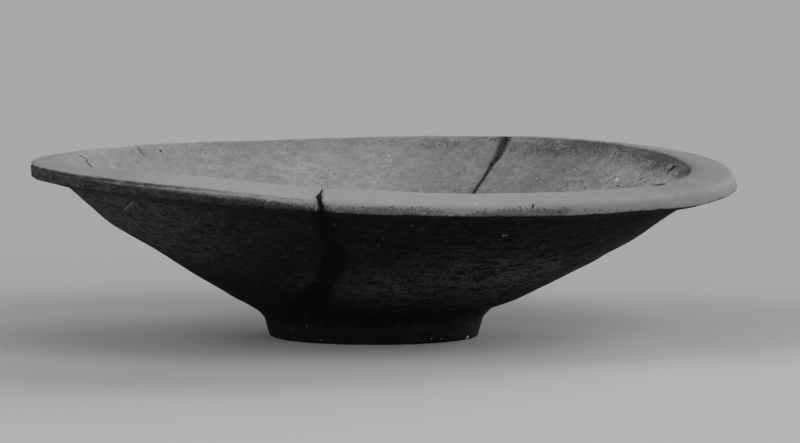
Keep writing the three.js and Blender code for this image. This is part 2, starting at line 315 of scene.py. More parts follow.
CHIPS = (
    (143.5, "inside", 107.5, 2.8, 6.2, 28, 1.0),
    (341.3, "lip", -0.4, 2.4, 1.4, 0, 0.7),
    (201.5, "outside", 102.6, 2.6, 1.6, 0, 0.3),
    (30.0, "inside", 97.2, 2.0, 2.0, 0, -0.7),
    (305.5, "outside", 83.0, 9.0, 2.6, 3, 0.18),
    (333.5, "outside", 37.15, 2.4, 2.2, 0, 0.5),
    (152.0, "outside", 92.0, 4.0, 2.0, 10, 0.3),
    (62.0, "lip", 0.8, 4.0, 1.8, 0, 0.6),
    (46.0, "outside", 71.0, 5.0, 2.2, -8, 0.25),
    (98.0, "outside", 101.0, 3.0, 2.0, 0, 0.25),
)
STAINS = (
    (170.6, "inside", 105.4, 2.4, 15.0, 0, -0.75),
    (330.8, "inside", 111.4, 9.5, 3.8, 0, -1.0),
    (12.9, "inside", 106.0, 3.4, 5.8, -50, -1.0),
    (13.6, "inside", 104.6, 3.0, 1.4, -20, -0.9),
    (30.0, "inside", 97.2, 2.0, 2.2, 0, 1.0),
    # painted shadow below the protruding white grit
    (27.3, "inside", 95.1, 1.6, 1.6, 0, -0.9),
    (22.3, "inside", 99.9, 1.3, 1.6, 0, -0.9),
    (19.1, "inside", 99.3, 1.3, 1.5, 0, -0.9),
    (42.6, "inside", 95.7, 1.0, 1.0, 0, 0.6),
    (39.0, "inside", 105.2, 1.0, 1.0, 0, 0.6),
    (37.4, "inside", 105.1, 0.8, 0.9, 0, 0.5),
    # painted shade in the chip inside the crest
    (143.5, "inside", 107.5, 1.9, 5.4, 28, -0.3),
    (138.2, "inside", 106.9, 1.3, 1.4, 0, -1.0),
    (141.5, "inside", 105.0, 0.9, 0.9, 0, -0.5),
    (130.3, "inside", 121.3, 0.9, 0.9, 0, -1.0),
    (136.5, "inside", 99.0, 1.3, 1.1, 0, -0.4),
    (294.9, "lip", 3.6, 0.9, 2.5, -28, -1.0),
    (292.6, "lip", 3.2, 0.8, 0.8, 0, -1.0),
    (297.0, "lip", 2.2, 0.8, 0.8, 0, -0.8),
    (299.7, "lip", 1.0, 1.3, 0.9, 0, -0.9),
    (285.1, "lip", 5.6, 1.5, 1.2, 0, 0.4),
    (276.5, "lip", 4.6, 1.2, 1.0, 0, 0.2),
    (259.25, "lip", 1.6, 0.9, 4.4, 0, 0.25),
    (341.4, "lip", -0.6, 2.4, 0.9, 0, -1.0),
    (338.6, "lip", 3.6, 0.7, 1.5, 0, 0.5),
    (305.5, "outside", 83.0, 9.0, 2.2, 3, -1.0),
    (300.0, "outside", 80.0, 3.4, 1.4, 0, -0.8),
    (295.0, "outside", 84.0, 6.0, 1.2, 2, -0.7),
    (293.9, "outside", 104.3, 0.5, 1.7, 25, 0.7),
    (294.6, "outside", 104.3, 0.5, 1.7, -25, 0.7),
    (333.5, "outside", 37.15, 2.0, 1.6, 0, 1.0),
    (213.6, "outside", 107.4, 0.5, 19.0, -64, 0.42),
    (201.5, "outside", 102.6, 2.4, 1.3, 0, -0.8),
)


# Noise and small helpers

def smooth(value, low, high):
    """Rises from 0 at low to 1 at high, level at both ends: 3t^2 - 2t^3."""
    step = np.clip((value - low) / (high - low), 0.0, 1.0)
    return step * step * (3.0 - 2.0 * step)


def bell(value, middle, spread):
    """Bell curve, 1 in the middle: e to the minus square of the distance over the spread."""
    return np.exp(-(((value - middle) / spread) ** 2))


def eased(place, places, values):
    """Value at a place between known ones, easing from each to the next."""
    after = np.clip(np.searchsorted(places, place, side="right"), 1, len(places) - 1)
    share = smooth(place, places[after - 1], places[after])
    return values[after - 1] + share * (values[after] - values[after - 1])


def by_bearing(table, degrees):
    """Value from a table of bearings, easing from one entry to the next."""
    return eased(degrees, *np.array(table).T)


def turned(degrees):
    """The same turn written from -180 to 180 degrees."""
    return (degrees + 180.0) % 360.0 - 180.0


def lattice(i, j, k, seed):
    """Fixed number from -1 to 1 for a whole-number place, by mixing the bits of its coordinates."""
    mixed = i.astype(np.uint32) * np.uint32(73856093)
    mixed ^= j.astype(np.uint32) * np.uint32(19349663)
    mixed ^= k.astype(np.uint32) * np.uint32(83492791)
    mixed ^= np.uint32(seed * 668265263 % 2**32)
    mixed ^= mixed >> np.uint32(13)
    mixed *= np.uint32(1540483477)
    mixed ^= mixed >> np.uint32(15)
    mixed *= np.uint32(2246822519)
    mixed ^= mixed >> np.uint32(13)
    return mixed / 2.0**31 - 1.0


def lumps(x, y, z, seed):
    """Smooth noise from -1 to 1: the numbers at the eight lattice corners round a point, blended."""
    place = np.stack(np.broadcast_arrays(x, y, z))
    corner = np.floor(place).astype(np.int64)
    part = place - corner
    blend = part * part * (3.0 - 2.0 * part)
    total = 0.0
    for di in (0, 1):
        for dj in (0, 1):
            for dk in (0, 1):
                share = np.abs(1 - di - blend[0]) * np.abs(1 - dj - blend[1]) * np.abs(1 - dk - blend[2])
                total = total + share * lattice(corner[0] + di, corner[1] + dj, corner[2] + dk, seed)
    return total


def graded(stations, spacings, count=None):
    """Places from the first station to the last, as far apart as the spacings there ask.

    The spacing runs straight between stations, and the places lie at equal steps of the summed 1 / spacing.
    """
    fine = np.linspace(stations[0], stations[-1], 4000)
    density = 1.0 / np.interp(fine, stations, spacings)
    summed = np.concatenate(([0.0], np.cumsum((density[1:] + density[:-1]) / 2.0 * np.diff(fine))))
    steps = count or int(np.ceil(summed[-1]))
    return np.interp(np.linspace(0.0, summed[-1], steps + 1), summed, fine)


# The turned section

def straight(start, end):
    """Points on the straight line from start to end."""
    share = np.linspace(0.0, 1.0, 200)[:, None]
    return start + share * (end - start)


def curved(start, bend, end):
    """Points on the quadratic curve from start to end that is drawn towards the bend."""
    share = np.linspace(0.0, 1.0, 200)[:, None]
    return (1 - share) ** 2 * start + 2 * share * (1 - share) * bend + share**2 * end


def bowed(start, end, bow):
    """Curve from start to end that hangs below the straight line by the bow."""
    chord = end - start
    below = np.array((chord[1], -chord[0])) / np.hypot(*chord)
    if below[1] > 0:
        below = -below
    return curved(start, (start + end) / 2 + 2 * bow * below, end)


def section_runs(shape):
    """The runs of the section, each with the name of its end, from under the foot round to the floor.

    The inner face of the wall runs beside the outer one, a wall thickness away from it.
    """
    crest_radius = shape.rim_radius - shape.flange_width
    lip_top = np.array((shape.rim_radius, shape.rim_height - shape.flange_drop))
    lip_low = lip_top - (0.0, shape.lip_height)
    cove = np.array((shape.foot_radius + shape.foot_flare, shape.foot_height))
    wall_low = cove + (shape.cove_width, shape.cove_height)
    wall_high = lip_low - (shape.lip_overhang, shape.underside_rise)
    climb = (wall_high[1] - wall_low[1]) / (wall_high[0] - wall_low[0])
    upright = shape.wall_thickness * np.hypot(1.0, climb)

    def inner(radius):
        """Point of the wall's inner face at a radius."""
        return np.array((radius, wall_low[1] + climb * (radius - wall_low[0]) + upright))

    shoulder = inner(crest_radius - shape.bevel_width)
    inner_low = inner(cove[0])
    crest = np.array((crest_radius, shape.rim_height))
    floor_height = shape.recess_depth + shape.floor_thickness
    floor_bend = np.array(((shape.floor_radius + cove[0]) / 2, floor_height))
    floor_edge = np.array((shape.floor_radius, floor_height))
    recess = np.array((shape.recess_radius, shape.recess_depth))
    recess_edge = recess - (shape.recess_depth, 0.0)
    foot_inner = np.array((shape.recess_radius, 0.0))
    foot_outer = np.array((shape.foot_radius - shape.foot_rounding, 0.0))
    foot_side = np.array((shape.foot_radius, shape.foot_rounding))
    return (
        ("recess", straight(np.array((0.0, shape.recess_depth)), recess_edge)),
        ("foot_inner", curved(recess_edge, recess, foot_inner)),
        ("foot_outer", straight(foot_inner, foot_outer)),
        ("foot_side", curved(foot_outer, np.array((shape.foot_radius, 0.0)), foot_side)),
        ("cove", straight(foot_side, cove)),
        ("wall_low", curved(cove, cove + (0.0, shape.cove_height / 2), wall_low)),
        ("wall_high", bowed(wall_low, wall_high, shape.wall_bow)),
        ("lip_low", straight(wall_high, lip_low)),
        ("lip_top", straight(lip_low, lip_top)),
        ("crest", straight(lip_top, crest)),
        ("shoulder", straight(crest, shoulder)),
        ("inner_low", bowed(shoulder, inner_low, shape.wall_bow)),
        ("floor_edge", curved(inner_low, floor_bend, floor_edge)),
        ("floor", straight(floor_edge, np.array((0.0, floor_height)))),
    )


class Section:
    """The half section as one line, with radius and height as functions of the way along it.

    The line is resampled at equal steps, and its corners are rounded by a running average over a
    short stretch for a crisp line and over a longer one for a worn line.
    """

    STEP = 0.1 * MM
    CRISP = 0.35 * MM
    WORN = 3.0 * MM

    def __init__(self, shape):
        runs = section_runs(shape)
        line = np.concatenate([points for _, points in runs])
        along = np.concatenate(([0.0], np.cumsum(np.hypot(*np.diff(line, axis=0).T))))
        ends = np.cumsum([len(points) for _, points in runs]) - 1
        self.mark = {name: along[end] for (name, _), end in zip(runs, ends)}
        self.way = np.linspace(0.0, along[-1], int(along[-1] / self.STEP))
        radius = np.interp(self.way, along, line[:, 0])
        height = np.interp(self.way, along, line[:, 1])
        self.crisp = self.averaged(radius, self.CRISP, -1.0), self.averaged(height, self.CRISP, 1.0)
        self.worn = self.averaged(radius, self.WORN, -1.0), self.averaged(height, self.WORN, 1.0)
        run = np.gradient(self.worn[0])
        rise = np.gradient(self.worn[1])
        self.normal = rise / np.hypot(run, rise), -run / np.hypot(run, rise)
        self.mark["nose"] = (self.mark["lip_low"] + self.mark["lip_top"]) / 2
        foot_break = shape.foot_radius + shape.foot_break_gap
        self.mark["break_outside"] = self.way_at(foot_break, "outside")
        self.mark["break_inside"] = self.way_at(foot_break, "inside")

    def averaged(self, values, spread, mirror):
        """Running average with bell-shaped weights; past each end the line goes on as its mirror image."""
        reach = int(3.5 * spread / self.STEP)
        weights = bell(np.arange(-reach, reach + 1) * self.STEP, 0.0, spread)
        head = mirror * values[reach:0:-1]
        tail = mirror * values[-2 : -reach - 2 : -1]
        return np.convolve(np.concatenate((head, values, tail)), weights / weights.sum(), mode="valid")

    def way_at(self, radius, face):
        """Way along the section to a radius on the lower, outside face or on the upper, inside one."""
        upper = self.way > self.mark["nose"]
        if face == "inside":
            return np.interp(-radius, -self.crisp[0][upper], self.way[upper])
        return np.interp(radius, self.crisp[0][~upper], self.way[~upper])

    def upper(self, way):
        """0 on the outside and 1 on the inside, passing from one to the other over the lip."""
        return smooth(way, self.mark["lip_low"], self.mark["lip_top"])

    def at(self, way, wear):
        """Radius, height and outward normal: the crisp and the worn line mixed by the wear."""
        pairs = (self.crisp, self.worn, self.normal)
        crisp, worn, normal = ([np.interp(way, self.way, line) for line in pair] for pair in pairs)
        radius, height = ((1 - wear) * sharp + wear * blunt for sharp, blunt in zip(crisp, worn))
        return radius, height, *normal


# The skin of the clay

def settled(shape, radius, bearing, height):
    """The hand-made unevenness: the rim leans, twists, waves and lies to the right, all growing from foot
    to crest."""
    crest = shape.rim_radius - shape.flange_width
    reach = np.clip((radius - shape.foot_radius) / (crest - shape.foot_radius), 0.0, 1.0)
    lean = reach * shape.rim_lean * np.cos(bearing)
    twist = reach**2 * shape.rim_twist * np.cos(2 * (bearing - shape.twist_bearing))
    wave = reach**2 * by_bearing(RIM_WAVE, np.degrees(bearing) % 360.0) * MM
    sideways = radius * np.cos(bearing) - shape.rim_offset * (1 - reach)
    return np.stack((sideways, radius * np.sin(bearing), height - lean + twist + wave), axis=-1)


class Patch:
    """Part of the bowl's surface as arrays: bearing and way, the section's point and normal there, and
    how much each place belongs to the rim, the inside, the wall and the band under the crest."""

    def __init__(self, section, bearing, way):
        mark = section.mark
        low, crest, shoulder = mark["lip_low"], mark["crest"], mark["shoulder"]
        flange = crest - 7 * MM, crest - 4 * MM
        self.section = section
        self.bearing, self.way = np.broadcast_arrays(bearing, way)
        self.degrees = np.degrees(self.bearing) % 360.0
        wear = self.between(low, mark["nose"], *flange) * self.by(LIP_WEAR)
        wear += self.between(*flange, shoulder, shoulder + 4 * MM) * self.by(CREST_WEAR)
        self.radius, self.height, self.out, self.up = section.at(self.way, wear)
        self.cos, self.sin = np.cos(self.bearing), np.sin(self.bearing)
        self.place = np.stack((self.radius * self.cos, self.radius * self.sin, self.height))
        self.rim = self.between(low - 1 * MM, low + 1 * MM, crest - 1 * MM, crest + 1.5 * MM)
        self.inside = smooth(self.way, crest + 1 * MM, crest + 6 * MM)
        self.wall = self.between(mark["cove"], mark["wall_low"] + 4 * MM, mark["wall_high"], low)
        self.band = self.between(crest - 0.3 * MM, crest + 0.9 * MM, crest + 3.5 * MM, shoulder + 5 * MM)
        self.groove = self.by(LIP_GROOVE)

    def between(self, start, risen, falling, end):
        """1 along a stretch of the section, falling to 0 at both of its ends."""
        return smooth(self.way, start, risen) * (1 - smooth(self.way, falling, end))

    def by(self, table):
        """Value of a bearing table."""
        return by_bearing(table, self.degrees)

    def lip_line(self, below, spread):
        """1 along a line below the lip's upper corner, falling off over the spread, both in millimetres."""
        return bell(self.way, self.section.mark["lip_top"] - below * MM, spread * MM)

    def spot(self, degrees, spread, radius, reach):
        """1 at a bearing and a radius, falling off over the spread of each."""
        return bell(turned(self.degrees - degrees), 0.0, spread) * bell(self.radius, radius * MM, reach * MM)

    def lumps(self, size, seed):
        """Smooth noise over the surface, with lumps of a size."""
        return lumps(*(self.place / size), seed)


def way_to(section, face, place):
    """Way to a radius on a face or, on the lip, to a way above its lower corner, in millimetres."""
    if face == "lip":
        return section.mark["lip_low"] + place * MM
    return section.way_at(place * MM, face)


def chip_depth(patch):
    """Depth of the chips: each is a slanted oval, e to the minus cube of the distance from its middle."""
    depth = np.zeros_like(patch.way)
    for degrees, face, place, around, along, slant, deep in CHIPS:
        right = np.radians(turned(patch.degrees - degrees)) * patch.radius / MM
        up = (patch.way - way_to(patch.section, face, place)) / MM
        cos, sin = np.cos(np.radians(slant)), np.sin(np.radians(slant))
        wide = (right * cos + up * sin) / (around / 2)
        tall = (up * cos - right * sin) / (along / 2)
        depth += deep * MM * np.exp(-((wide**2 + tall**2) ** 1.5))
    return depth


def clay_lift(patch):
    """How far the skin stands off the section: turning lines, lumps, bulges, the lip's groove, ridge and
    hanging edge, and worn corners, less the chips."""
    mark = patch.section.mark
    lift = np.zeros_like(patch.way)
    off_axis = smooth(patch.radius, 1 * MM, 8 * MM) * (1 - 0.55 * patch.rim - 0.3 * patch.inside)
    for seed, (waves, band, depth) in enumerate(TURNING, 1):
        lift += off_axis * depth * lumps(waves * patch.cos, waves * patch.sin, patch.way / (band * MM), seed)
    for seed, (size, depth) in enumerate(UNEVEN, 3):
        lift += depth * patch.lumps(size * MM, seed)
    for *place, swell in BULGES:
        lift += swell * patch.spot(*place) * (patch.inside < 0.5)
    ridge = RIDGE_HEIGHT * patch.lip_line(RIDGE_BELOW, 0.42)
    lift += patch.groove * (ridge - GROOVE_DEPTH * patch.lip_line(GROOVE_BELOW, 0.36))
    low = mark["lip_low"]
    hang = patch.between(mark["wall_high"], low - 2 * MM, low, mark["nose"] + 1 * MM)
    lift += patch.by(LIP_DROP) * hang
    lift -= patch.by(CREST_DROP) * bell(patch.way, mark["crest"], 5 * MM)
    corners = bell(patch.way, low, 1.1 * MM) + 0.5 * bell(patch.way, mark["crest"], 0.9 * MM)
    lift -= 0.8 * np.clip(patch.lumps(3.6 * MM, 6) - 0.25, 0.0, 1.0) * corners
    return lift * MM - chip_depth(patch)


def coat_values(patch):
    """Depth below the top of the black coat in millimetres, and how far it is rubbed off the ridge."""
    ragged = 0.3 * patch.lumps(7 * MM, 8) + 0.15 * patch.lumps(2.2 * MM, 9)
    top = patch.by(COAT_TOP) + (0.8 + patch.by(COAT_LOOSE)) * ragged
    depth = np.clip((patch.section.mark["lip_low"] - patch.way) / MM + top, -5.0, 5.0)
    rubbed = patch.groove * patch.by(RIDGE_RUB) * patch.lip_line(RIDGE_BELOW, 0.4)
    return np.stack((depth, rubbed, np.zeros_like(depth)), axis=-1)


def tone_values(patch, dirt, smear):
    """Dirt along the lip and under the crest besides what is there, partly painted shade, and painted shade
    in the lip's groove, the share of the rim, and how pale the coat is: most on the left of the wall, partly
    painted light, and on the lip there, and least where it is smeared and at the foot, where it is painted
    shade."""
    low = patch.section.mark["lip_low"]
    wall_high = patch.section.mark["wall_high"]
    lip = patch.between(low - 4 * MM, low - 3 * MM, low + 0.2 * MM, low + 5.6 * MM)
    lip = lip * (1 + 0.14 * bell(patch.degrees, *FRONT_DIRT_AND_SHADE))
    dirt = dirt + lip * patch.by(LIP_DIRT_AND_SHADE) + patch.band * patch.by(CREST_DIRT_AND_SHADE)
    # Painted shade in the lip's groove, carried as dirt
    dirt += 0.9 * patch.groove * patch.lip_line(GROOVE_BELOW, 0.35)
    left = bell(patch.degrees, *LEFT_FADE_AND_PAINTED_LIGHT) * smooth(patch.radius, 60 * MM, 106 * MM) * patch.wall
    lip_left = bell(patch.degrees, *LIP_FADE) * smooth(patch.way, wall_high, low)
    spots = [share * patch.spot(*place) for *place, share in FADES_AND_EDGE_LIGHT]
    fade_and_painted_light = np.max((1.3 * left, 0.85 * lip_left, *spots), axis=0)
    # Painted shade at the foot, under the wall: the coat is kept darker there
    fade_and_painted_light -= 0.06 * (1 - smooth(patch.radius, 42 * MM, 62 * MM)) + smear
    return np.stack((dirt, patch.rim, fade_and_painted_light), axis=-1)


def clay_values(patch):
    """Tone of the bare clay, with painted light and shade on the rim, the lip and the inside, the strength
    of its mottling, and how far the coat's top breaks up.
    """
    low = patch.section.mark["lip_low"]
    upper = smooth(patch.radius, 45 * MM, 95 * MM)
    inside = FLOOR_SHADE + upper * (patch.by(INSIDE_SHADE) - FLOOR_SHADE)
    # Painted shade on the lip's face: the rim's tone falls towards the lip's lower corner
    rim = patch.by(RIM_SHADE) * (0.8 + 0.2 * patch.section.upper(patch.way))
    shade = rim + patch.inside * (inside - rim)
    grain = FLOOR_GRAIN + upper * (patch.by(CLAY_GRAIN) - FLOOR_GRAIN)
    outside = 1 - smooth(patch.way, low - 1 * MM, low + 1 * MM)
    grain = grain + outside * (patch.by(COAT_GRAIN) - grain)
    return np.stack((shade, grain, patch.by(COAT_LOOSE)), axis=-1)


def skin(shape, section, bearing, way, edge=None, chipped=0.0):
    """Skin of the bowl for a bearing and a way along the section, with the values its finish needs.

    The section's point moves along its normal by the lift of the clay, less the wear beside a break,
    which fades with the distance from its edge, and is then settled. The wheel's values are a place whose
    first two parts stop growing with the radius, so that noise on it is drawn out round the bowl.
    """
    patch = Patch(section, bearing, way)
    lift = clay_lift(patch)
    dirt = smear = 0.0
    if edge is not None:
        ragged = 0.7 + 0.5 * patch.lumps(1.7 * MM, 7)
        worn, dirt, smear = (share * bell(edge, 0.0, reach * MM) for share, reach in BREAK_MARKS)
        lift = lift - worn * MM * chipped * ragged
        wide = smooth(chipped, 0.9, 1.0)
        dirt, smear = wide * dirt, wide * smear
    height = np.maximum(patch.height + lift * patch.up, 0.0)
    round_way = np.minimum(patch.radius, GRAIN_RADIUS) / MM
    return {
        "point": settled(shape, patch.radius + lift * patch.out, patch.bearing, height),
        "coat": coat_values(patch),
        "tone": tone_values(patch, dirt, smear),
        "clay": clay_values(patch),
        "wheel": np.stack((round_way * patch.cos, round_way * patch.sin, patch.way / MM), axis=-1),
    }


# Break lines

class Break:
    """A break as a wandering line from lip to foot: its bearing is a function of the radius, and so is its
    width on each face. Over the lip both pass smoothly from the outside's to the inside's."""

    def __init__(self, shape, stations, seed, ragged, lean):
        along, degrees, outside, inside = np.array(stations[::-1]).T
        low = shape.foot_radius + shape.foot_break_gap
        self.radii = low + along * (shape.rim_radius - low)
        self.bearings = np.radians(degrees)
        self.outside = outside * MM
        self.inside = inside * MM
        self.lean = np.radians(lean) * smooth(along, 0.6, 0.8)
        self.seed = seed
        self.ragged = ragged

    def width(self, section, ways):
        """Width at each way along the section."""
        radius = section.at(ways, 0.0)[0]
        upper = section.upper(ways)
        outside = eased(radius, self.radii, self.outside)
        return outside + upper * (eased(radius, self.radii, self.inside) - outside)

    def side(self, section, ways, side, clearance=0.0):
        """Bearing of one side of the break: its middle, plus a wander that both sides share, plus or
        minus half its width with a raggedness of its own."""
        radius = section.at(ways, 0.0)[0]
        middle = np.interp(radius, self.radii, self.bearings)
        middle = middle + section.upper(ways) * np.interp(radius, self.radii, self.lean)
        half = self.width(section, ways) / 2
        wander = tear = 0.0
        for number, (size, reach) in enumerate(WANDER):
            wander = wander + reach * MM * lumps(radius / (size * MM), 0.5, 0.5, self.seed + number)
        ragged = self.ragged * half * (0.35 + 0.65 * section.upper(ways))
        for size, share, number in TEAR:
            tear = tear + share * ragged * lumps(ways / (size * MM), 0.5, 0.5, self.seed + number + side)
        shift = wander + side * np.maximum(half + tear - clearance, 0.02 * MM)
        return middle + shift / radius


# Pieces as grids of points

def across(first, last, steps):
    """Grid between two rows of the same values: straight from the first row to the last."""
    share = np.linspace(0.0, 1.0, steps + 1)[:, None, None]
    return {key: first[key] * (1 - share) + last[key] * share for key in first}


def broken_face(first, last, seed):
    """Rough break between two edges: straight across, pushed in and out by noise that fades at its rim."""
    face = across(first, last, BREAK_STEPS)
    point = face["point"]
    share = np.linspace(0.0, 1.0, BREAK_STEPS + 1)[:, None]
    run = np.linspace(0.0, 1.0, point.shape[1])[None, :]
    inner = np.clip(8 * share * (1 - share), 0, 1) * np.clip(60 * run * (1 - run), 0, 1)
    normal = np.cross(np.gradient(point, axis=1), np.gradient(point, axis=0))
    normal = normal / np.maximum(np.linalg.norm(normal, axis=-1, keepdims=True), 1e-12)
    rough = lumps(*(np.moveaxis(point, -1, 0) / (2.2 * MM)), seed)
    face["point"] = point - 0.06 * MM * (inner * (1 + rough))[..., None] * normal
    face["coat"] = face["coat"] * (1, 1, 0) + np.stack((0 * inner, 0 * inner, inner), axis=-1)
    return face


def picked(grid, rows, columns):
    """Part of a grid."""
    return {key: values[rows, columns] for key, values in grid.items()}


def quads(rows, columns, offset):
    """Corner numbers of the faces of a grid of points, counted from the offset."""
    corner = offset + np.arange(rows * columns).reshape(rows, columns)
    faces = np.stack((corner[:-1, :-1], corner[:-1, 1:], corner[1:, 1:], corner[1:, :-1]), axis=-1)
    return faces.reshape(-1, 4)


def make_piece(node, grids, sharp=40.0):
    """One closed mesh from grids that meet along their rims: they are joined, welded and turned outwards."""
    faces = []
    offset = 0
    for grid in grids:
        rows, columns = grid["point"].shape[:2]
        faces.append(quads(rows, columns, offset))
        offset += rows * columns
    values = {key: np.concatenate([grid[key].reshape(-1, 3) for grid in grids]) for key in grids[0]}
    mesh = bpy.data.meshes.new(node + "_skin")
    mesh.from_pydata(values.pop("point"), [], np.concatenate(faces))
    for key, rows in values.items():
        layer = mesh.attributes.new(key, "FLOAT_VECTOR", "POINT")
        layer.data.foreach_set("vector", rows.astype(np.float32).ravel())
    weld = bmesh.new()
    weld.from_mesh(mesh)
    bmesh.ops.remove_doubles(weld, verts=weld.verts, dist=WELD_REACH)
    bmesh.ops.dissolve_degenerate(weld, edges=weld.edges, dist=SLIVER)
    bmesh.ops.recalc_face_normals(weld, faces=weld.faces)
    weld.to_mesh(mesh)
    weld.free()
    mesh.shade_smooth()
    mesh.set_sharp_from_angle(angle=np.radians(sharp))
    slot = next(part["material_slot"] for part in frame["record"]["subparts"] if part["node"] == node)
    mesh.materials.append(finish_of(slot))
    piece = bpy.data.objects.new(node + "_skin", mesh)
    bpy.context.scene.collection.objects.link(piece)
    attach(piece, "root")
    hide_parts(node)


def wall_rows(section, start_outside, end_inside):
    """Ways from the foot break up the outside, over the lip and down the inside, as many on each side
    of the lip's nose, closest together at the rim."""
    mark = section.mark
    high, shoulder = mark["wall_high"], mark["shoulder"]
    outside = (start_outside, high - 5 * MM, high, mark["lip_low"] - 2 * MM, mark["nose"])
    outside_steps = np.array((1.2, 1.2, 0.8, 0.6, 0.42)) * MM
    flange = mark["lip_top"] + 2 * MM, mark["crest"] - 1 * MM
    inside = (mark["nose"], *flange, shoulder + 1 * MM, shoulder + 6 * MM, end_inside)
    inside_steps = np.array((0.42, 0.65, 0.5, 0.6, 1.2, 1.2)) * MM
    count = max(len(graded(outside, outside_steps)), len(graded(inside, inside_steps))) - 1
    below = graded(outside, outside_steps, count)
    above = graded(inside, inside_steps, count)
    return np.concatenate((below, above[1:]))


def column_shares(span, middle_step):
    """Shares from 0 to 1 across a sherd, closest together beside its two breaks."""
    places = (0.0, 2.5 * MM, 7 * MM, span - 7 * MM, span - 2.5 * MM, span)
    steps = np.array((0.32 * MM, 0.45 * MM, middle_step, middle_step, 0.45 * MM, 0.32 * MM))
    return graded(places, steps) / span


def wall_grid(shape, section, ways, first, last, shares, clearance=0.0):
    """Skin between two break sides, each a break and -1 or 1 for its near or far side: the bearing runs from
    one side to the other at each way's own radius."""
    radius = section.at(ways, 0.0)[0]
    start = first[0].side(section, ways, first[1], clearance)
    turn = (last[0].side(section, ways, last[1], clearance) - start) % (2 * np.pi)
    bearing = start[:, None] + shares * turn[:, None]
    edge = np.minimum(shares, 1 - shares) * (turn * radius)[:, None]
    low = shape.foot_radius + shape.foot_break_gap
    edge = edge + 5 * MM * (1 - smooth(radius, low, low + 4 * MM))[:, None]
    widths = [side[0].width(section, ways)[:, None] for side in (first, last)]
    chipped = np.clip(np.where(shares < 0.5, *widths) / WIDE_BREAK, 0.1, 1.0)
    return skin(shape, section, bearing, ways[:, None], edge, chipped), bearing


def closed_wall(grid, seed, bottom=True):
    """A wall grid with its break faces: one at each side, and one at the foot break."""
    half = grid["point"].shape[0] // 2
    outside = slice(0, half + 1)
    inside = slice(2 * half, half - 1, -1)
    grids = [grid]
    for column, turn in ((0, 1), (-1, 2)):
        grids.append(broken_face(picked(grid, outside, column), picked(grid, inside, column), seed + turn))
    if bottom:
        grids.append(broken_face(picked(grid, 0, slice(None)), picked(grid, -1, slice(None)), seed))
    return grids


def bowl_of(scene):
    """Sizes, section and breaks of the bowl, which every piece is made from."""
    shape = scene.bowl_shape
    breaks = {name: Break(shape, *values) for name, values in BREAKS.items()}
    return shape, Section(shape), breaks


def sherd_grids(shape, section, first, last, seed):
    """Closed grids of a left-hand sherd, from the far side of one break to the near side of the next."""
    low = shape.foot_radius + shape.foot_break_gap + shape.foot_crack
    ways = wall_rows(section, section.way_at(low, "outside"), section.way_at(low, "inside"))
    span = (last.bearings[-1] - first.bearings[-1]) * shape.rim_radius
    grid, _ = wall_grid(shape, section, ways, (first, 1), (last, -1), column_shares(span, SHERD_STEP))
    return closed_wall(grid, seed)


def foot_and_right_grids(shape, section, breaks):
    """Closed grids of the largest sherd: its wall goes from the front break on round to the back break,
    and the foot and floor go all the way round, with a break face on their left."""
    mark = section.mark
    front, back = breaks["front"], breaks["back"]
    ways = wall_rows(section, mark["break_outside"], mark["break_inside"])
    span = (back.bearings[-1] + 2 * np.pi - front.bearings[-1]) * shape.rim_radius
    shares = column_shares(span, RIGHT_WALL_STEP)
    wall, bearing = wall_grid(shape, section, ways, (front, 1), (back, -1), shares)
    grids = closed_wall(wall, 60, bottom=False)

    left = np.linspace(bearing[0, -1], bearing[0, 0] + 2 * np.pi, LEFT_FOOT_STEPS + 1)
    round_foot = np.concatenate((bearing[0], left[1:]))
    foot_ways = (0.0, mark["recess"], mark["foot_outer"] - 2 * MM, mark["cove"], mark["wall_low"])
    under = graded((*foot_ways, mark["break_outside"]), np.array((2.4, 1.6, 0.9, 0.75, 0.8, 1.0)) * MM)
    floor_ways = (mark["break_inside"], mark["floor_edge"], mark["floor"])
    floor = graded(floor_ways, np.array((1.2, 1.5, 2.4)) * MM)
    foot = skin(shape, section, round_foot, under[:, None])
    inside = skin(shape, section, round_foot, floor[:, None])
    on_left = slice(len(bearing[0]) - 1, None)
    return grids + [foot, inside, broken_face(picked(foot, -1, on_left), picked(inside, 0, on_left), 66)]


def fill_grids(shape, section, line, sink, dust, seed):
    """Closed grids of the filling in a break: the skin between its sides, sunk and lumpy."""
    low = shape.foot_radius + shape.foot_break_gap + 0.1 * MM
    ways = wall_rows(section, section.way_at(low, "outside"), section.way_at(low, "inside"))
    share = np.linspace(0.0, 1.0, FILL_STEPS + 1)
    grid, bearing = wall_grid(shape, section, ways, (line, -1), (line, 1), share, FILL_GAP)
    patch = Patch(section, bearing, ways[:, None])
    lump = patch.lumps(3.4 * MM, seed) + 0.6 * patch.lumps(1.3 * MM, seed + 1)
    hollow = 0.45 + 0.55 * np.clip(4 * share * (1 - share), 0, 1)
    depth = sink * (hollow + 0.35 * lump)
    push = np.stack((patch.out * patch.cos, patch.out * patch.sin, patch.up), axis=-1)
    grid["point"] = grid["point"] - depth[..., None] * push
    grid["tone"][..., 0] = dust
    return closed_wall(grid, seed + 5)


def make_fills(scene, fills, seed):
    """Pieces for a table of fillings."""
    shape, section, breaks = bowl_of(scene)
    for node, line, sink, dust in fills:
        make_piece(node, fill_grids(shape, section, breaks[line], sink * MM, dust, seed), 60.0)


